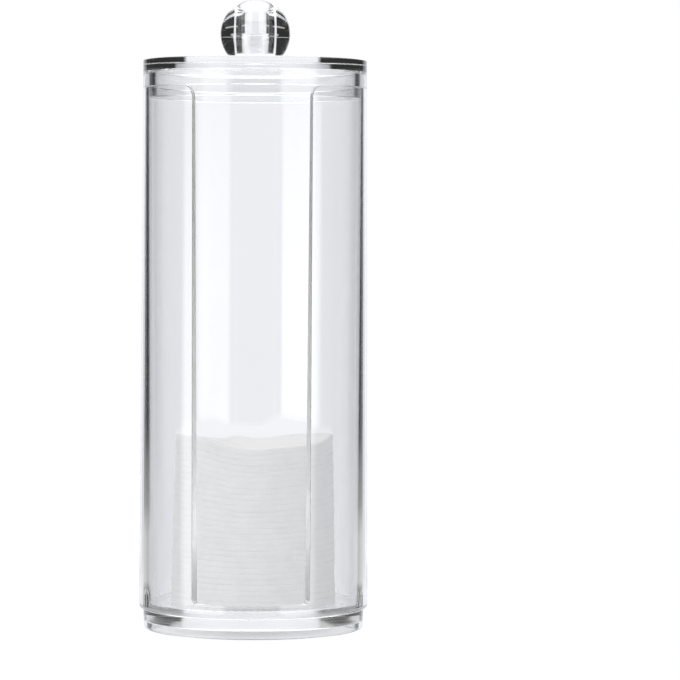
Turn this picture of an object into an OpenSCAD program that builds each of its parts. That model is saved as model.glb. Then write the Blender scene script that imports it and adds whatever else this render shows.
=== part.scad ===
// Clear round dispenser for cotton pads: a drafted tube with a front slot, a base, a lift-off lid
// with a ball knob on a pin, and the stack of pads that it holds.
// Millimetres, +Z up. The origin is at the middle of the foot, and the slot faces -Y.

/* [Cotton pads] */
// Number of pads in the stack
pad_count = 28; // [1:1:40]
// Diameter of the lowest pad, the one that sets the bore of the tube
pad_d = 57.4; // [40:0.1:80]
// How much narrower the top pad is, because the lower ones are pressed flat
pad_narrowing = 2.8; // [0:0.1:6]
// Thickness of one pad as it lies in the stack
pad_t = 1.98; // [1:0.01:2.6]
// Rounding of a pad's pressed edge
pad_edge_r = 0.4; // [0.1:0.05:0.45]
// How far the top of the stack has slid to the right
pad_lean = 0.4; // [0:0.1:2]

/* [Tube] */
// Room between the lowest pad and the wall at the tube's mouth, all round
pad_room = 8; // [3:0.1:15]
// Wall of the tube at its rim
wall = 1.8; // [1.2:0.1:3.5]
// How much thicker the wall is at the bottom
wall_swell = 1.5; // [0:0.1:2]
// Height of the tube from the base's flange to its rim
tube_h = 179.2; // [140:0.1:240]
// Mould release: how much more radius the tube has at the bottom
tube_draft = 1; // [0:0.1:2.5]
// Rounding of the tube's two rim edges
rim_round = 0.5; // [0.1:0.1:0.8]
// Rounding of the tube's outer bottom edge, where it draws in to the base
foot_round = 1.4; // [0.4:0.1:2]

/* [Front slot] */
// Width of the slot, outside, at the top
slot_w = 40.3; // [20:0.1:50]
// How much narrower the slot is at the bottom
slot_narrowing = 0.7; // [0:0.1:4]
// Height of the ring that stays closed under the slot
sill_h = 4.8; // [2.5:0.1:20]
// Radius of the slot's two lower corners
sill_corner_r = 1.5; // [0.5:0.1:4]
// Radius at which the wall's two top corners turn away from the slot
mouth_corner_r = 4.2; // [1:0.1:10]

/* [Base] */
// Height of the base below the tube
base_h = 7; // [6.5:0.1:16]
// Thickness of the base's plate, as seen under the tube
base_plate_t = 3.9; // [2:0.1:5]
// Height of the plug that stands up inside the tube and carries the pads
base_plug_h = 2.7; // [1:0.1:3]
// Wall of the foot ring under the plate
foot_wall = 2.5; // [1.5:0.1:5]
// How much less radius the base has at the floor
base_draft = 0.4; // [0:0.1:1.5]
// Rounding of the base's lower edge
base_round = 0.9; // [0.2:0.1:1.2]

/* [Lid] */
// Thickness of the lid's top plate
lid_plate_t = 4; // [2.5:0.1:7]
// Height of the lid's skirt, between its top plate and the tube's rim
lid_skirt_h = 5.5; // [2:0.1:15]
// Depth of the ring that plugs the tube's mouth
lid_plug_h = 3.7; // [2:0.1:12]
// Wall of the plug ring
lid_plug_wall = 1.8; // [1:0.1:4]
// Rounding of the lid's top edge
lid_round = 0.3; // [0.2:0.1:1.2]
// Depth of the fine groove under the top plate
groove_depth = 0.35; // [0.1:0.05:0.8]
// Height of that groove
groove_h = 0.5; // [0.2:0.1:1]

/* [Knob] */
// Diameter of the ball
knob_d = 24; // [14:0.5:34]
// Depth of the flat that is cut from the ball's foot
knob_flat = 2.8; // [1.5:0.1:5]
// Plastic left above the blind hole in the ball
knob_crown = 5.3; // [2:0.1:6]
// Diameter of the clear pin that joins the ball to the lid
pin_d = 9.6; // [3:0.1:10]
// How deep the pin sits in the lid
pin_in_lid = 1.5; // [0.5:0.1:2]

/* [Fits] */
// Gap all round between the lid's plug and the tube's mouth, so that the lid lifts off
lid_gap = 0.3; // [0.2:0.05:0.8]
// Gap all round in the glued joints: base plug in tube, pin in lid, and pin in ball
glue_gap = 0.1; // [0.05:0.05:0.3]

/* [Hidden] */
function pad_name(i) = str("cotton_pad_", i < 9 ? "0" : "", i + 1);
$fn = 128;
arc_steps = 8;
cut = 1; // how far a cutter reaches past what it cuts

// Radii of the tube: outside and inside, at the rim and at the bottom
bore_r = pad_d / 2 + pad_room;
tube_r = bore_r + wall;
foot_r = tube_r + tube_draft;
foot_bore_r = foot_r - wall - wall_swell;

// Heights
tube_z = base_h;
floor_z = base_h + base_plug_h;
rim_z = tube_z + tube_h;
sill_z = tube_z + sill_h;
lid_under_z = rim_z + lid_skirt_h;
lid_top_z = lid_under_z + lid_plate_t;
pin_z = lid_top_z - pin_in_lid;
knob_mid_z = lid_top_z + knob_d / 2 - knob_flat;
knob_hole_z = lid_top_z + knob_d - knob_flat - knob_crown;

pin_hole_d = pin_d + 2 * glue_gap;

// The tube's bottom rounding leaves a flat ring that the base's flange meets
base_r = foot_r - foot_round + 0.05;

// The slot's sides run towards the tube's axis. They lean in on the way down, because the tube gets
// wider there and the slot narrower.
slot_a = asin(slot_w / 2 / tube_r);
slot_foot_a = asin((slot_w - slot_narrowing) / 2 / foot_r);
slot_lean = foot_r * sin(slot_a - slot_foot_a) / tube_h;

// Points of an arc about [x, y], from angle a to angle b
function arc(x, y, r, a, b) =
    [for (i = [0:arc_steps]) let (t = a + (b - a) * i / arc_steps) [x + r * cos(t), y + r * sin(t)]];

module clear_plastic() color([0.88, 0.93, 0.96, 0.4]) children();

// Wall panel of revolution, before the slot is cut
module tube_shell() {
    bottom_x = foot_r - foot_round;
    rotate_extrude()
        polygon(concat(
            [[foot_bore_r, tube_z]],
            arc(bottom_x, tube_z + foot_round, foot_round, -90, 0),
            arc(tube_r - rim_round, rim_z - rim_round, rim_round, 0, 90),
            arc(bore_r + rim_round, rim_z - rim_round, rim_round, 90, 180)
        ));
}

// Half of the slot's outline. x is 0 at the side's top and grows towards the slot's middle.
module slot_half_outline() {
    mid_x = slot_w / 2 + 2 * cut;
    low_z = sill_z + sill_corner_r;
    low_x = slot_lean * (rim_z - low_z);
    high_z = rim_z - mouth_corner_r;
    high_x = slot_lean * mouth_corner_r;
    polygon(concat(
        [[mid_x, rim_z + cut], [mid_x, sill_z]],
        arc(low_x + sill_corner_r, low_z, sill_corner_r, 270, 180),
        arc(high_x - mouth_corner_r, high_z, mouth_corner_r, 0, 90),
        [[high_x - mouth_corner_r, rim_z + cut]]
    ));
}

module slot_half() {
    from_r = min(bore_r, foot_bore_r) * cos(slot_a) - cut;
    rotate([0, 0, -slot_a])
        rotate([90, 0, 0])
            translate([0, 0, from_r])
                linear_extrude(foot_r + cut - from_r)
                    slot_half_outline();
}

module tube() {
    clear_plastic()
        difference() {
            tube_shell();
            slot_half();
            mirror([1, 0, 0]) slot_half();
        }
}

// Turned profile: plug, flange on which the tube stands, and foot ring round a recess
module base() {
    plug_r = foot_bore_r - glue_gap;
    low_r = base_r - base_draft;
    recess_r = low_r - foot_wall;
    recess_z = base_h - base_plate_t;
    clear_plastic()
        rotate_extrude()
            polygon(concat(
                [[0, recess_z], [recess_r, recess_z], [recess_r, 0]],
                arc(low_r - base_round, base_round, base_round, -90, 0),
                [[base_r, tube_z], [plug_r, tube_z], [plug_r, floor_z], [0, floor_z]]
            ));
}

// Turned profile: top plate, skirt flush with the tube, and plug ring inside the tube's mouth
module lid() {
    plug_r = bore_r - lid_gap;
    hollow_r = plug_r - lid_plug_wall;
    plug_z = rim_z - lid_plug_h;
    groove_r = tube_r - groove_depth;
    edge_r = min(rim_round, lid_plug_wall / 3);
    clear_plastic()
        difference() {
            rotate_extrude()
                polygon(concat(
                    [[0, lid_under_z], [hollow_r, lid_under_z]],
                    arc(hollow_r + edge_r, plug_z + edge_r, edge_r, 180, 270),
                    arc(plug_r - edge_r, plug_z + edge_r, edge_r, -90, 0),
                    [[plug_r, rim_z], [tube_r, rim_z], [tube_r, lid_under_z - groove_h]],
                    [[groove_r, lid_under_z - groove_h / 2], [tube_r, lid_under_z]],
                    arc(tube_r - lid_round, lid_top_z - lid_round, lid_round, 0, 90),
                    [[0, lid_top_z]]
                ));
            translate([0, 0, pin_z]) cylinder(h = pin_in_lid + cut, d = pin_hole_d);
        }
}

// Ball, cut flat at its foot, with a blind hole for the pin
module knob() {
    clear_plastic()
        difference() {
            intersection() {
                translate([0, 0, knob_mid_z]) sphere(d = knob_d);
                translate([-knob_d, -knob_d, lid_top_z]) cube(2 * knob_d);
            }
            translate([0, 0, lid_top_z - cut]) cylinder(h = knob_hole_z - lid_top_z + cut, d = pin_hole_d);
        }
}

// Round pin, glued into the lid and up to the ball's middle
module knob_pin() {
    clear_plastic()
        translate([0, 0, pin_z]) cylinder(h = knob_mid_z - pin_z, d = pin_d);
}

// Pressed round of cotton wool
module cotton_pad(i) {
    up = i / max(1, pad_count - 1);
    pad_r = (pad_d - pad_narrowing * up) / 2;
    color("whitesmoke")
        translate([pad_lean * (up - 0.5), 0, floor_z + pad_t * i])
            rotate_extrude()
                polygon(concat(
                    [[0, 0]],
                    arc(pad_r - pad_edge_r, pad_edge_r, pad_edge_r, -90, 0),
                    arc(pad_r - pad_edge_r, pad_t - pad_edge_r, pad_edge_r, 0, 90),
                    [[0, pad_t]]
                ));
}

base();
tube();
lid();
knob();
knob_pin();
for (i = [0:pad_count - 1]) cotton_pad(i);
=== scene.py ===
import math

import bmesh
import bpy
from mathutils import Matrix, Vector, noise
from mathutils.geometry import delaunay_2d_cdt

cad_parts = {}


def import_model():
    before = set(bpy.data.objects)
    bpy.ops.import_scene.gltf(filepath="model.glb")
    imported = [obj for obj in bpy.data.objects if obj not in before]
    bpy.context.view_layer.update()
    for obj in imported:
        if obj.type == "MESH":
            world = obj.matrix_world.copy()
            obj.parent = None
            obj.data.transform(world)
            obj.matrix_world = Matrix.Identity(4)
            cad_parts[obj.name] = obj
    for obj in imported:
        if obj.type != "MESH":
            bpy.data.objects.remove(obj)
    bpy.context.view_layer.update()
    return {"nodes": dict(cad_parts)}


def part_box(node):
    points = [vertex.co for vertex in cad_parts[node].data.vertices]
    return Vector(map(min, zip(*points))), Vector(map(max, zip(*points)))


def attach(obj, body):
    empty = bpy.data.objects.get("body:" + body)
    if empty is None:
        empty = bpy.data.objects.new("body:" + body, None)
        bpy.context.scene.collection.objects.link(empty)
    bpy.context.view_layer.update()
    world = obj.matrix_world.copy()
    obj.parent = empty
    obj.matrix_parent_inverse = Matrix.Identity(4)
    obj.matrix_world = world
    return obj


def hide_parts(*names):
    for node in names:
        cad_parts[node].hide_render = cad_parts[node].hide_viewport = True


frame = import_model()

# Clear acrylic dispenser for cotton pads. Lengths are in millimetres until a mesh is made.
MM = 0.001
FRONT = math.radians(-90)  # the slot faces -Y


def reach(node):
    """Radius of a turned solid, and its lowest and highest z."""
    low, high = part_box(node)
    return (high[1] - low[1]) / 2 / MM, low[2] / MM, high[2] / MM


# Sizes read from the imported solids
FOOT_R, TUBE_Z, RIM_Z = reach("tube")
LID_R, PLUG_Z, LID_TOP_Z = reach("lid")
BASE_R, _, PAD_FLOOR_Z = reach("base")
KNOB_R, _, KNOB_TOP_Z = reach("knob")
PIN_R, PIN_Z, PIN_TOP_Z = reach("knob_pin")
PADS = sorted(name for name in frame["nodes"] if name.startswith("cotton_pad_"))

# Sizes that the solids' boxes don't give
WALL, WALL_SWELL = 1.8, 1.5
TUBE_R = LID_R  # the lid is flush with the tube's rim
BORE_R = TUBE_R - WALL
FOOT_BORE_R = FOOT_R - WALL - WALL_SWELL
FOOT_ROUND = 1.4
EDGE = 0.2  # moulded edges are rounded by this much
SLOT_W, SLOT_NARROWING, SILL_H = 40.3, 0.7, 4.8
SILL_CORNER_R, MOUTH_CORNER_R = 1.5, 4.2
BASE_PLATE_T, FOOT_WALL, BASE_DRAFT, BASE_ROUND = 3.9, 2.5, 0.4, 0.9
LID_PLATE_T, LID_PLUG_WALL, LID_GAP, LID_ROUND = 4.0, 1.8, 0.3, 0.3
GROOVE_DEPTH, GROOVE_H = 0.35, 0.5
KNOB_CROWN, GLUE_GAP = 5.3, 0.1
FILM = 0.04  # air film between pieces that touch, so that their faces aren't in one place
PIN_VOID = 0.3, 0.45  # top and bottom, below the pin, of the thin void that the glue leaves under it

# Steps of the meshes
ROUND_STEPS, ARC_STEPS, BALL_STEPS = 384, 6, 96
COLUMNS, EDGE_STEPS, FOOT_STEPS = 300, 5, 8
CORNER_STEPS, SIDE_STEPS, SILL_STEPS = 14, 30, 20


# Meshes

def rounded(corners):
    """Points of an outline. Each corner is (r, z) or (r, z, radius)."""
    points = []
    for i, corner in enumerate(corners):
        here = Vector(corner[:2])
        radius = corner[2] if len(corner) > 2 else 0
        if not radius:
            points.append(here)
            continue
        to_last = (Vector(corners[i - 1][:2]) - here).normalized()
        to_next = (Vector(corners[(i + 1) % len(corners)][:2]) - here).normalized()
        half = to_last.angle(to_next) / 2
        centre = here + (to_last + to_next).normalized() * radius / math.sin(half)
        start = here + to_last * radius / math.tan(half) - centre
        end = here + to_next * radius / math.tan(half) - centre
        turn = start.angle_signed(end)
        for step in range(ARC_STEPS + 1):
            points.append(centre + Matrix.Rotation(-turn * step / ARC_STEPS, 2) @ start)
    return points


def outline_normals(points):
    """Outward normals of an outline that runs anticlockwise. A long side counts for more than a short one."""
    normals = []
    for i, here in enumerate(points):
        before = here - points[i - 1] if i else Vector((0, 0))
        after = points[i + 1] - here if i + 1 < len(points) else Vector((0, 0))
        side = before + after
        normals.append(Vector((side.y, -side.x)).normalized())
    return normals


def new_piece(name, mesh):
    piece = bpy.data.objects.new(name, mesh)
    bpy.context.scene.collection.objects.link(piece)
    return piece


def turned(name, *outlines):
    """A solid of revolution from outlines in (r, z) that start and end on the axis. The solid's own one
    runs anticlockwise, and voids in it run clockwise."""
    vertices, normals, faces = [], [], []
    for corners in outlines:
        points = rounded(corners)
        rings = []
        for point, normal in zip(points, outline_normals(points)):
            on_axis = point.x < 1e-6
            first = len(vertices)
            for step in range(1 if on_axis else ROUND_STEPS):
                a = 2 * math.pi * step / ROUND_STEPS
                vertices.append(Vector((point.x * math.cos(a), point.x * math.sin(a), point.y)) * MM)
                if on_axis:
                    normals.append(Vector((0, 0, math.copysign(1, normal.y))))
                else:
                    normals.append(Vector((normal.x * math.cos(a), normal.x * math.sin(a), normal.y)))
            rings.append([first] if on_axis else list(range(first, first + ROUND_STEPS)))
        for low, high in zip(rings, rings[1:]):
            for i in range(ROUND_STEPS):
                j = (i + 1) % ROUND_STEPS
                if len(low) == 1:
                    faces.append((low[0], high[j], high[i]))
                elif len(high) == 1:
                    faces.append((low[i], low[j], high[0]))
                else:
                    faces.append((low[i], low[j], high[j], high[i]))
    mesh = bpy.data.meshes.new(name)
    mesh.from_pydata(vertices, [], faces)
    mesh.shade_smooth()
    mesh.normals_split_custom_set_from_vertices(normals)
    return new_piece(name, mesh)


# Tube

SILL_Z = TUBE_Z + SILL_H
TUBE_H = RIM_Z - TUBE_Z
TAPER = (FOOT_R - TUBE_R) / TUBE_H
BORE_TAPER = (FOOT_BORE_R - BORE_R) / TUBE_H
SLOT_A = math.asin(SLOT_W / 2 / TUBE_R)
SLOT_LEAN = FOOT_R * math.sin(SLOT_A - math.asin((SLOT_W - SLOT_NARROWING) / 2 / FOOT_R)) / TUBE_H
COLUMN_ANGLES = [2 * math.pi * i / COLUMNS - math.pi for i in range(COLUMNS + 1)]
CLEAR_OF_EDGE = 1  # the grid's points in the wall's faces keep this far from the rim and the slot


def wall_r(z):
    """Outer radius of the drafted wall at a height."""
    return TUBE_R + TAPER * (RIM_Z - z)


def bore_r(z):
    """Inner radius of the wall, which is thicker at the bottom."""
    return BORE_R + BORE_TAPER * (RIM_Z - z)


def slot_side(z):
    """Angle from the slot's middle to its side at a height, corners included."""
    low, high = SILL_Z + SILL_CORNER_R, RIM_Z - MOUTH_CORNER_R
    inward = SLOT_LEAN * (RIM_Z - z)
    if z < low:
        inward += SILL_CORNER_R - math.sqrt(max(0, SILL_CORNER_R**2 - (low - z) ** 2))
    if z > high:
        inward -= MOUTH_CORNER_R - math.sqrt(max(0, MOUTH_CORNER_R**2 - (z - high) ** 2))
    return SLOT_A - math.asin(inward / wall_r(z))


def edge_path():
    """(angle, z) along the wall's upper edge: rim, mouth corner, slot side, sill, and back up to the rim."""
    turns = [math.pi / 2 * i / CORNER_STEPS for i in range(CORNER_STEPS + 1)]
    low = [SILL_Z + SILL_CORNER_R * (1 - math.cos(a)) for a in turns]
    high = [RIM_Z - MOUTH_CORNER_R * (1 - math.sin(a)) for a in turns]
    straight = [low[-1] + (high[0] - low[-1]) * i / SIDE_STEPS for i in range(1, SIDE_STEPS)]
    side = [(slot_side(z), z) for z in low + straight + high]
    half_sill = [(side[0][0] * i / SILL_STEPS, SILL_Z) for i in range(SILL_STEPS)]
    rim = [(a, RIM_Z) for a in COLUMN_ANGLES if a > side[-1][0] + 0.01]
    right = half_sill + side + rim
    return [(-a, z) for a, z in reversed(right[1:])] + right


def path_normals(path):
    """Unit normals of the edge path, out of the wall, as (along the angle, along z)."""
    normals = []
    for i, (a, z) in enumerate(path):
        before, after = path[max(i - 1, 0)], path[min(i + 1, len(path) - 1)]
        side = Vector(((after[0] - before[0]) * wall_r(z), after[1] - before[1])).normalized()
        normals.append(Vector((-side.y, side.x)))
    return normals


def tube():
    """The drafted wall: an outer and an inner face filled between the same edges, a rounded edge section
    swept along the rim and the slot, and a turned foot."""
    mesh = bmesh.new()
    shade = mesh.verts.layers.float_vector.new("shade")

    def vertex(a, r, z, radial, around=0.0, up=0.0):
        """A vertex at an angle from the slot's middle, with its normal in the same three directions."""
        a += FRONT
        c, s = math.cos(a), math.sin(a)
        v = mesh.verts.new(Vector((r * c, r * s, z)) * MM)
        v[shade] = Vector((radial * c - around * s, radial * s + around * c, up)).normalized()
        return v

    def strip(rows, satin):
        """Faces between rows of vertices. The one after the row numbered satin gets the second material."""
        for k, (one, two) in enumerate(zip(rows, rows[1:])):
            for i in range(len(one) - 1):
                face = mesh.faces.new((one[i], one[i + 1], two[i + 1], two[i]))
                face.material_index = int(k == satin)

    # Edge section: outer rounding, flat, inner rounding, at each point of the path
    path = edge_path()
    normals = path_normals(path)
    quarter = [math.pi / 2 * i / EDGE_STEPS for i in range(EDGE_STEPS + 1)]
    rows = []
    for face, turns in ((1, quarter), (-1, quarter[::-1])):
        for t in turns:
            depth, under = EDGE * (1 - math.sin(t)), EDGE * (1 - math.cos(t))
            row = []
            for (a, z), n in zip(path, normals):
                r = wall_r(z) - under if face > 0 else bore_r(z) + under
                row.append(vertex(
                    a - n.x * depth / wall_r(z), r, z - n.y * depth,
                    face * math.cos(t), math.sin(t) * n.x, math.sin(t) * n.y,
                ))
            rows.append(row)
    strip(rows, satin=len(quarter) - 1)

    # Outer and inner faces, filled inside the edge section's first row
    foot_top = TUBE_Z + FOOT_ROUND
    inner_path = [(a - n.x * EDGE / wall_r(z), z - n.y * EDGE) for (a, z), n in zip(path, normals)]
    seam = [foot_top + (RIM_Z - EDGE - foot_top) * i / SIDE_STEPS for i in range(SIDE_STEPS)]
    loop = (
        inner_path
        + [(math.pi, z) for z in reversed(seam)]
        + [(a, foot_top) for a in COLUMN_ANGLES[-2:0:-1]]
        + [(-math.pi, z) for z in seam]
    )
    flat = [Vector((a * TUBE_R, z)) for a, z in loop]
    slot_margin = (CLEAR_OF_EDGE + EDGE) / TUBE_R
    inside = []
    for a in COLUMN_ANGLES[1:-1]:
        for z in seam[1:]:
            in_slot = z > SILL_Z - CLEAR_OF_EDGE and abs(a) < slot_side(max(z, SILL_Z)) + slot_margin
            if not in_slot and z < RIM_Z - CLEAR_OF_EDGE:
                inside.append(Vector((a * TUBE_R, z)))
    edges = [(i, (i + 1) % len(flat)) for i in range(len(flat))]
    filled = delaunay_2d_cdt(flat + inside, edges, [], 1, 1e-5)
    for radius, taper, sign in ((wall_r, TAPER, 1), (bore_r, BORE_TAPER, -1)):
        grid = [vertex(p.x / TUBE_R, radius(p.y), p.y, sign, 0, sign * taper) for p in filled[0]]
        for face in filled[2]:
            mesh.faces.new([grid[i] for i in (face if sign > 0 else reversed(face))])

    # Foot: the bore's glued strip and its edge, flat ring on the base's flange, and outer rounding
    turns = [math.pi / 2 * i / FOOT_STEPS for i in range(FOOT_STEPS + 1)]
    out = wall_r(foot_top) - FOOT_ROUND
    bore, bevel = bore_r(TUBE_Z), EDGE / 2
    foot = [(bore_r(foot_top), foot_top), (bore, TUBE_Z + bevel), (bore + bevel, TUBE_Z)]
    foot += [(out + FOOT_ROUND * math.sin(t), foot_top - FOOT_ROUND * math.cos(t)) for t in turns]
    foot = [Vector(p) for p in foot]
    strip([
        [vertex(a, p.x, p.y, n.x, 0, n.y) for a in COLUMN_ANGLES]
        for p, n in zip(foot, outline_normals(foot))
    ], satin=0)

    bmesh.ops.remove_doubles(mesh, verts=mesh.verts, dist=1e-7)
    data = bpy.data.meshes.new("clear_tube")
    mesh.to_mesh(data)
    data.shade_smooth()
    data.normals_split_custom_set_from_vertices([Vector(v[shade]) for v in mesh.verts])
    mesh.free()
    return new_piece("clear_tube", data)


# Base, lid and knob

def base():
    """Plug, flange and foot ring. The plug's side, which is glued to the tube, gets the second material."""
    low_r = BASE_R - BASE_DRAFT
    recess_r = low_r - FOOT_WALL
    plate_z = TUBE_Z - FILM
    under_z = TUBE_Z - BASE_PLATE_T
    plug_r = FOOT_BORE_R - GLUE_GAP
    piece = turned("clear_base", [
        (0, under_z), (recess_r, under_z, 0.4), (recess_r, 0, 0.2), (low_r, 0, BASE_ROUND),
        (BASE_R, plate_z, 0.15), (plug_r, plate_z, 0.1), (plug_r, PAD_FLOOR_Z - FILM, 0.3),
        (0, PAD_FLOOR_Z - FILM),
    ])
    plug_side = 5 * (ARC_STEPS + 1)  # the strip between the outline's fifth and sixth roundings
    for face in piece.data.polygons[plug_side * ROUND_STEPS:(plug_side + 1) * ROUND_STEPS]:
        face.material_index = 1
    return piece


def lid():
    """Top plate, skirt, groove and plug ring. Glue fills the pin's socket, but for a void at its bottom."""
    skirt_z = RIM_Z + FILM
    under_z = LID_TOP_Z - LID_PLATE_T
    plug_r = BORE_R - LID_GAP
    hollow_r = plug_r - LID_PLUG_WALL
    groove_z = under_z - GROOVE_H / 2
    void_top, void_bottom = (PIN_Z - depth for depth in PIN_VOID)
    return turned("clear_lid", [
        (0, under_z), (hollow_r, under_z, 0.5), (hollow_r, PLUG_Z, 0.5), (plug_r, PLUG_Z, 0.5),
        (plug_r, skirt_z, 0.15), (LID_R, skirt_z, 0.25), (LID_R, under_z - GROOVE_H, 0.1),
        (LID_R - GROOVE_DEPTH, groove_z, 0.05), (LID_R, under_z, 0.1), (LID_R, LID_TOP_Z, LID_ROUND),
        (0, LID_TOP_Z),
    ], [(0, void_top), (PIN_R, void_top), (PIN_R, void_bottom), (0, void_bottom)])


def knob():
    """A ball, cut flat where it stands on the lid, with a blind hole for the pin."""
    centre_z = KNOB_TOP_Z - KNOB_R
    foot_z = LID_TOP_Z + FILM
    hole_r = PIN_R + GLUE_GAP
    hole_z = KNOB_TOP_Z - KNOB_CROWN
    flat_a = math.asin((foot_z - centre_z) / KNOB_R)
    ball = []
    for i in range(1, BALL_STEPS):
        a = flat_a + (math.pi / 2 - flat_a) * i / BALL_STEPS
        ball.append((KNOB_R * math.cos(a), centre_z + KNOB_R * math.sin(a)))
    return turned("clear_knob", [
        (0, hole_z), (hole_r, hole_z, 0.6), (hole_r, foot_z, 0.15),
        (KNOB_R * math.cos(flat_a) - 0.1, foot_z), *ball, (0, KNOB_TOP_Z),
    ])


def knob_pin():
    """The pin's upper part. Its foot is one with the lid, because the glue fills its socket."""
    low_z = LID_TOP_Z + FILM
    return turned("clear_knob_pin", [
        (0, low_z), (PIN_R, low_z, 0.05), (PIN_R, PIN_TOP_Z, 0.2), (0, PIN_TOP_Z),
    ])


# Cotton pads

# The top pad's rim has curled up at the sides, and ripples. Heights every 15 degrees from the slot's middle.
CURL = 1.8
RIPPLE = (
    -0.1, 0.1, 0, -0.7, -0.7, 0.2, 0, 0, 0.4, 0.8, 1.4, 0.8,
    0.2, 1.3, -1.0, -1.9, -1.5, -0.6, -0.2, 0, 1.1, 2.2, 1.9, 0.5,
)
PAD_COLUMNS, PAD_RINGS, PAD_EDGE_STEPS = 192, 12, 10
PAD_EDGE = 0.12  # how far a pad's pressed edge bulges
PAD_INSET, WOBBLE, FUZZ = 0.2, 0.25, 0.1  # mean shortfall of the cut edge, its waviness, and its loose fibres
PAD_GAP = 0.005  # to each neighbour


def ripple(a):
    """Smooth curve through RIPPLE at an angle from the slot's middle."""
    at = (a % (2 * math.pi)) / (2 * math.pi) * len(RIPPLE)
    i, t = int(at), at - int(at)
    p0, p1, p2, p3 = (RIPPLE[(i + k) % len(RIPPLE)] for k in (-1, 0, 1, 2))
    return p1 + t / 2 * (p2 - p0 + t * (2 * p0 - 5 * p1 + 4 * p2 - p3 + t * (3 * (p1 - p2) + p3 - p0)))


def cotton_pad(name, i, count):
    """A pressed round with a soft edge, bent as its neighbours are."""
    low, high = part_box(name)
    centre = Vector((low[0] + high[0], low[1] + high[1])) / 2 / MM
    pad_r = (high[0] - low[0]) / 2 / MM
    low_z, high_z = low[2] / MM, high[2] / MM

    def level(up, z, a, share):
        """Height of a face of the stack, where up is its share of the stack's height."""
        curl = -CURL * math.cos(2 * a) * up + ripple(a) * up**3
        return z + curl * share**2

    # Rings from the middle of the lower face over the edge to the middle of the upper one, each as a share
    # of the radius, a share of the thickness, and how far it draws in
    rows = [(k / PAD_RINGS, 0.0, 0.0) for k in range(PAD_RINGS)]
    for k in range(PAD_EDGE_STEPS + 1):
        t = math.pi * k / PAD_EDGE_STEPS
        rows.append((1.0, (1 - math.cos(t)) / 2, PAD_EDGE * (1 - math.sin(t))))
    rows += [(k / PAD_RINGS, 1.0, 0.0) for k in range(PAD_RINGS - 1, -1, -1)]

    mesh = bmesh.new()
    loops = []
    for share, rise, draw_in in rows:
        gap = PAD_GAP if rise < 0.5 else -PAD_GAP
        loop = []
        for s in range(1 if share == 0 else PAD_COLUMNS):
            a = 2 * math.pi * s / PAD_COLUMNS
            wobble = noise.noise(Vector((2.2 * math.cos(a), 2.2 * math.sin(a), 3.1 * i)))
            fuzz = noise.noise(Vector((14 * math.cos(a), 14 * math.sin(a), 5.3 * i + 2 * rise)))
            r = share * (pad_r - PAD_INSET + WOBBLE * wobble + FUZZ * fuzz) - draw_in
            z = (
                level(i / count, low_z, a, share) * (1 - rise)
                + level((i + 1) / count, high_z, a, share) * rise
            )
            b = a + FRONT
            loop.append(mesh.verts.new(
                Vector((centre.x + r * math.cos(b), centre.y + r * math.sin(b), z + gap)) * MM
            ))
        loops.append(loop)
    for one, two in zip(loops, loops[1:]):
        for s in range(PAD_COLUMNS):
            t = (s + 1) % PAD_COLUMNS
            if len(one) == 1:
                mesh.faces.new((one[0], two[t], two[s]))
            elif len(two) == 1:
                mesh.faces.new((one[s], one[t], two[0]))
            else:
                mesh.faces.new((one[s], one[t], two[t], two[s]))
    data = bpy.data.meshes.new(name + "_cotton")
    mesh.to_mesh(data)
    mesh.free()
    data.shade_smooth()
    return new_piece(name + "_cotton", data)


# Materials

MATH = "ShaderNodeMath"


def linear(code):
    """Linear RGBA of an sRGB hex colour."""
    channels = [int(code[i:i + 2], 16) / 255 for i in (1, 3, 5)]
    return [c / 12.92 if c <= 0.04045 else ((c + 0.055) / 1.055) ** 2.4 for c in channels] + [1.0]


def add(tree, kind, settings=None, *first, **named):
    """Adds a node. settings are its own, with a ramp's stops as (place, tone or hex colour). Inputs come in
    their order, by name, or by number as _6. Each is a value, or a node or a socket to link from."""
    node = tree.nodes.new(kind)
    for key, value in (settings or {}).items():
        if key != "stops":
            setattr(node, key, value)
            continue
        marks = node.color_ramp.elements
        while len(marks) < len(value):
            marks.new(0.5)
        for mark, (at, tone) in zip(marks, value):
            mark.position = at
            mark.color = linear(tone) if isinstance(tone, str) else (tone, tone, tone, 1)
    inputs = list(enumerate(first))
    for key, value in named.items():
        inputs.append((int(key[1:]) if key[0] == "_" else key.replace("_", " "), value))
    for key, value in inputs:
        if isinstance(value, bpy.types.Node):
            value = value.outputs[0]
        if isinstance(value, bpy.types.NodeSocket):
            tree.links.new(value, node.inputs[key])
        else:
            node.inputs[key].default_value = value
    return node


def new_material(name):
    material = bpy.data.materials.new(name)
    material.use_nodes = True
    tree = material.node_tree
    tree.nodes.clear()
    return material, tree, add(tree, "ShaderNodeTexCoord").outputs["Object"]


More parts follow.
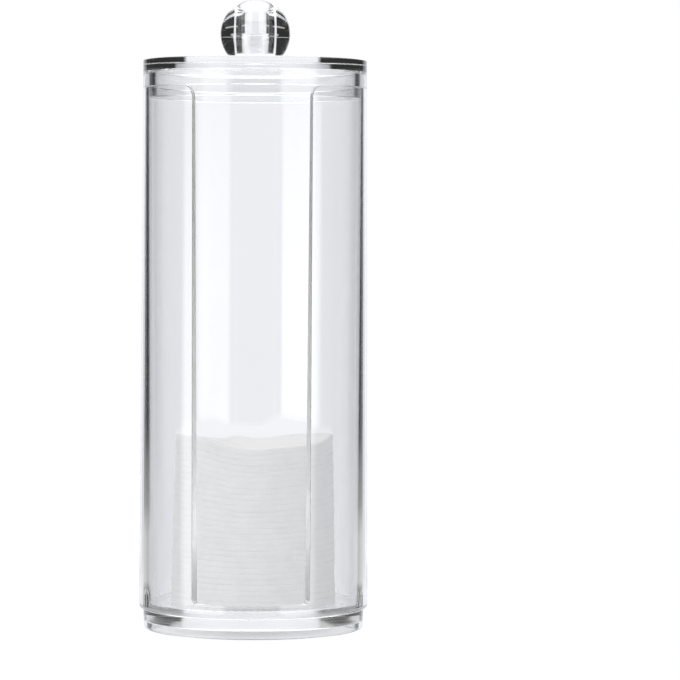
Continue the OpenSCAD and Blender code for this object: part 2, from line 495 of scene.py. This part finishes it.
def clear_acrylic(name, roughest):
    """Injection-moulded PMMA from a polished mould: water-clear and glossy, with faint marks of handling 5 mm
    apart that only break up the gloss, and the melt's flow in waves of 36 mm. On the slot's sides, and where
    glue joins the tube and the base, it is rougher, so it is hazy and blurs what is behind it."""
    material, tree, place = new_material(name)
    marks = add(tree, "ShaderNodeTexNoise", Vector=place, Scale=0.22 / MM, Detail=6.0, Roughness=0.7)
    flow = add(tree, "ShaderNodeTexNoise", Vector=place, Scale=0.028 / MM, Detail=2.0)
    tint = add(tree, "ShaderNodeValToRGB", {"stops": ((0.3, "#FDFEFE"), (0.7, "#FFFFFF"))}, flow)
    worn = add(tree, "ShaderNodeValToRGB", {"stops": ((0.45, roughest - 0.03), (0.75, roughest))}, marks)
    bump = add(tree, "ShaderNodeBump", Height=flow, Strength=0.05, Distance=0.02 * MM)
    shader = add(
        tree, "ShaderNodeBsdfPrincipled",
        Base_Color=tint, Roughness=worn, Normal=bump, IOR=1.49, Transmission_Weight=1.0,
    )
    add(tree, "ShaderNodeOutputMaterial", None, shader)
    return material


def cotton_wool():
    """Pressed, bleached cotton wool: matt white with a soft nap. The fibres lie flat, and are drawn as tufts
    of 0.4 mm, because one of 0.02 mm wouldn't show. Pressing leaves faint lumps of about 6 mm."""
    material, tree, place = new_material("cotton_wool_pressed")
    fibres = add(
        tree, "ShaderNodeTexNoise", Vector=place, Scale=2.6 / MM, Detail=5.0, Roughness=0.65, Distortion=1.2
    )
    lumps = add(tree, "ShaderNodeTexNoise", Vector=place, Scale=0.18 / MM, Detail=3.0)
    mixed = add(tree, MATH, {"operation": "MULTIPLY_ADD"}, lumps, 0.6, fibres)
    bump = add(tree, "ShaderNodeBump", Height=mixed, Strength=0.5, Distance=0.2 * MM)
    shader = add(
        tree, "ShaderNodeBsdfPrincipled",
        Base_Color=add(tree, "ShaderNodeValToRGB", {"stops": ((0.35, "#EDEDED"), (1.0, "#FAFAFA"))}, mixed),
        Roughness=add(tree, "ShaderNodeValToRGB", {"stops": ((0.2, 0.85), (0.8, 1.0))}, fibres),
        Normal=bump, Sheen_Weight=0.25, Specular_IOR_Level=0.2,
    )
    add(tree, "ShaderNodeOutputMaterial", None, shader)
    return material


# Stage, in metres

FLOOR_R, FLOOR_DROP, TABLE_R = 2.0, 0.0002, (0.05, 0.12)
PAPER_GLOW = 1.05


def seen_by(tree, *kinds):
    """1 for rays of these kinds, 0 for the others."""
    path = add(tree, "ShaderNodeLightPath")
    total = path.outputs[kinds[0]]
    for kind in kinds[1:]:
        total = add(tree, MATH, {"operation": "MAXIMUM"}, total, path.outputs[kind])
    return total


def disc(name, r, z, material):
    steps = 96
    ring = [2 * math.pi * i / steps for i in range(steps)]
    mesh = bpy.data.meshes.new(name)
    mesh.from_pydata([(r * math.cos(a), r * math.sin(a), z) for a in ring], [], [tuple(range(steps))])
    mesh.materials.append(material)
    piece = new_piece(name, mesh)
    return piece


def paper(name, lit, fade=None):
    """Uncoated white paper, matt, with a 1 mm grain. A share of it glows, so that it reads as white and keeps
    a soft shadow, and it can fade out between two radii."""
    material, tree, place = new_material(name)
    grain = add(tree, "ShaderNodeTexNoise", Vector=place, Scale=0.9 / MM, Detail=4.0)
    white = add(tree, "ShaderNodeValToRGB", {"stops": ((0.3, "#ECEDF1"), (0.7, "#F1F2F6"))}, grain)
    diffuse = add(tree, "ShaderNodeBsdfDiffuse", Color=white)
    glow = add(tree, "ShaderNodeEmission", Color=(1, 1, 1, 1), Strength=PAPER_GLOW)
    seen = seen_by(tree, "Is Camera Ray", "Is Glossy Ray", "Is Transmission Ray")
    share = add(tree, MATH, {"operation": "MULTIPLY"}, seen, lit)
    shader = add(tree, "ShaderNodeMixShader", None, share, diffuse, glow)
    if fade:
        out_to = add(tree, "ShaderNodeVectorMath", {"operation": "LENGTH"}, place).outputs["Value"]
        gone = add(tree, "ShaderNodeMapRange", Value=out_to, From_Min=fade[0], From_Max=fade[1])
        shader = add(tree, "ShaderNodeMixShader", None, gone, shader, add(tree, "ShaderNodeBsdfTransparent"))
    add(tree, "ShaderNodeOutputMaterial", None, shader)
    return material


def floor():
    """The floor. Clear pieces see only the table top round the box, and past it the dark of the studio,
    which draws their edges."""
    ground = disc("floor", FLOOR_R, -FLOOR_DROP, paper("paper_white", 0.88))
    ground.visible_glossy = ground.visible_transmission = False
    table = disc("table_top", TABLE_R[1], 0.0, paper("paper_white_faded", 0.3, TABLE_R))
    table.visible_camera = table.visible_diffuse = table.visible_shadow = False


# Studio. All of it is in stops of (degrees, number): degrees above the horizon, or from +Y towards +X.

# Two panels to the camera's sides, as shares of a lamp, and the lamp's strength by height
PANELS = (-153, 0), (-149, 1.0), (-105, 1.0), (-101, 0), (112, 0), (116, 0.75), (149, 0.75), (153, 0)
LAMP = (-1, 2.4), (2.7, 1.1)
# Tone of the dark sides, and patches where they are lighter: tones by height, and shares by direction
DARK = 0.03
PATCHES = (
    (
        ((-7.2, 0), (-7, 0.6), (-6.2, 0.6), (-5.7, 0.25), (-4.9, 0.12), (-4.4, 0)),
        ((-50, 0), (-45, 1), (45, 1), (50, 0)),
    ),
    (((6.3, 0), (6.4, 0.6), (7.1, 0.6), (7.2, 0)), ((-72, 0), (-68, 1), (68, 1), (72, 0))),
    (((-9, 0.42), (-7, 0)), ((-153, 1), (-149, 0), (149, 0), (153, 1))),
)
# A dark gap in the second patch, to each side of +Y. It sinks and thins outwards.
GAP_Z = (27, 6.806), (87, 6.674)
GAP_HALF = (27, 0.012), (37, 0.05), (44, 0.05), (66, 0.005)
GAP_EDGE = (0.7, 0.03), (1.2, 1)  # tone by distance from its middle, in shares of its half thickness
GAP_ENDS = (24, 1), (27, 0), (60, 0), (68, 1)
# How wide the backdrop is to each side, by height. It gets darker outwards above the rim and near the floor.
HALF_WIDTH = (2.4, 25), (2.6, 31.5), (4.5, 31.5), (6, 27)
SOFT_SIDE = (-1, 1), (1, 0)
FADED = (-9, 1), (-7.5, 0), (2.35, 0), (2.5, 1)
FALL_OFF = (0, 0.92), (5, 0.92), (9, 0.97), (14, 0.95), (18, 0.87), (23, 0.79), (28, 0.56), (31.5, 0.4)
BACKDROP = (0.915, 0.925, 0.965, 1)
# The backdrop and the sides fill a band round the horizon. Above it is the ceiling, in times of white.
BAND = (-38, 0), (-34, 1), (34, 1), (42, 0)
CEILING = (37, 0), (44, 2.0)
# Light on the cotton and the floor: share of the band, gain, and how much stronger it is from the right
BAND_ON_COTTON, GAIN, FROM_RIGHT = 0.5, 0.02, -0.16


def stepped(tree, value, stops):
    """A number that follows stops of (at, number). The map gives the ramp's table its full fineness."""
    low, high = stops[0][0], stops[-1][0]
    top = max(number for _, number in stops)
    place = add(tree, "ShaderNodeMapRange", Value=value, From_Min=low, From_Max=high)
    scaled = [((at - low) / (high - low), number / top) for at, number in stops]
    levels = add(tree, "ShaderNodeValToRGB", {"stops": scaled}, place)
    return add(tree, MATH, {"operation": "MULTIPLY"}, levels, top)


def side_tone(tree, azimuth, off, height):
    """Tone of the studio beside the backdrop."""
    panels = stepped(tree, azimuth, PANELS), stepped(tree, height, LAMP)
    tone = add(tree, MATH, {"operation": "MULTIPLY_ADD"}, *panels, DARK)
    for levels, shares in PATCHES:
        patch = stepped(tree, height, levels), stepped(tree, azimuth, shares)
        tone = add(tree, MATH, {"operation": "MULTIPLY_ADD"}, *patch, tone)
    from_gap = add(tree, MATH, {"operation": "SUBTRACT"}, height, stepped(tree, off, GAP_Z))
    from_gap = add(tree, MATH, {"operation": "ABSOLUTE"}, from_gap)
    in_halves = add(tree, MATH, {"operation": "DIVIDE"}, from_gap, stepped(tree, off, GAP_HALF))
    gap = stepped(tree, in_halves, GAP_EDGE), stepped(tree, off, GAP_ENDS)
    return add(tree, MATH, {"operation": "MULTIPLY"}, tone, add(tree, MATH, {"operation": "MAXIMUM"}, *gap))


def backdrop_share(tree, off, height):
    """How much the backdrop shows, from 0 beside it to 1."""
    past = add(tree, MATH, {"operation": "SUBTRACT"}, off, stepped(tree, height, HALF_WIDTH))
    loss = add(tree, MATH, {"operation": "SUBTRACT"}, 1.0, stepped(tree, off, FALL_OFF))
    loss = add(tree, MATH, {"operation": "MULTIPLY"}, stepped(tree, height, FADED), loss)
    kept = add(tree, MATH, {"operation": "SUBTRACT"}, 1.0, loss)
    return add(tree, MATH, {"operation": "MULTIPLY"}, stepped(tree, past, SOFT_SIDE), kept)


def world():
    """White for the camera. Clear and glossy pieces also see a backdrop between dark sides, in a band along
    the horizon, and a bright ceiling."""
    scene = bpy.context.scene
    scene.world = bpy.data.worlds.new("studio")
    scene.world.use_nodes = True
    tree = scene.world.node_tree
    tree.nodes.clear()
    way = add(tree, "ShaderNodeSeparateXYZ", None, add(tree, "ShaderNodeTexCoord").outputs["Generated"])
    x, y, z = way.outputs
    height = add(tree, MATH, {"operation": "DEGREES"}, add(tree, MATH, {"operation": "ARCSINE"}, z))
    azimuth = add(tree, MATH, {"operation": "DEGREES"}, add(tree, MATH, {"operation": "ARCTAN2"}, x, y))
    off = add(tree, MATH, {"operation": "ABSOLUTE"}, azimuth)
    tones = add(
        tree, "ShaderNodeMix", {"data_type": "RGBA"}, Factor=backdrop_share(tree, off, height),
        _6=side_tone(tree, azimuth, off, height), _7=BACKDROP,
    ).outputs[2]

    clear = seen_by(tree, "Is Glossy Ray", "Is Transmission Ray")
    diffuse = seen_by(tree, "Is Diffuse Ray")
    sky = add(tree, MATH, {"operation": "MULTIPLY_ADD"}, stepped(tree, height, CEILING), clear, 1.0)
    share = add(tree, MATH, {"operation": "MULTIPLY_ADD"}, diffuse, BAND_ON_COTTON, clear)
    share = add(tree, MATH, {"operation": "MULTIPLY"}, stepped(tree, height, BAND), share)
    colour = add(tree, "ShaderNodeMix", {"data_type": "RGBA"}, Factor=share, _6=sky, _7=tones).outputs[2]
    extra = add(tree, MATH, {"operation": "MULTIPLY_ADD"}, x, FROM_RIGHT, GAIN)
    strength = add(tree, MATH, {"operation": "MULTIPLY_ADD"}, diffuse, extra, 1.0)
    background = add(tree, "ShaderNodeBackground", Color=colour, Strength=strength)
    add(tree, "ShaderNodeOutputWorld", None, background)


def camera():
    """A long lens from a little above the middle, pitched down by 2 degrees."""
    data = bpy.data.cameras.new("camera")
    data.sensor_width = 36.0
    data.lens = 177.3
    data.clip_start, data.clip_end = 0.01, 50
    eye = bpy.data.objects.new("camera", data)
    bpy.context.scene.collection.objects.link(eye)
    eye.location = (0.0296, -1.156, 0.140)
    pitch, roll = math.radians(90 - 2.0), math.radians(0.25)
    eye.rotation_euler = (Matrix.Rotation(pitch, 3, "X") @ Matrix.Rotation(roll, 3, "Z")).to_euler()
    bpy.context.scene.camera = eye


# Assembly

def main():
    polished = clear_acrylic("clear_acrylic_moulded", 0.03)
    satin = clear_acrylic("clear_acrylic_satin", 0.4)
    cotton = cotton_wool()
    for make, node, body in (
        (base, "base", "box"), (tube, "tube", "box"), (lid, "lid", "lid"), (knob, "knob", "lid"),
        (knob_pin, "knob_pin", "lid"),
    ):
        piece = make()
        piece.data.materials.append(polished)
        if make in (tube, base):
            piece.data.materials.append(satin)
        piece.visible_diffuse = piece.visible_shadow = False  # the studio's light passes through it
        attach(piece, body)
        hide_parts(node)
    for i, node in enumerate(PADS):
        piece = cotton_pad(node, i, len(PADS))
        piece.data.materials.append(cotton)
        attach(piece, "box")
        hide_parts(node)
    floor()
    world()
    camera()
    scene = bpy.context.scene
    scene.view_settings.view_transform = "Standard"
    scene.cycles.max_bounces = 96
    scene.cycles.transmission_bounces = 32
    scene.cycles.glossy_bounces = 96


main()
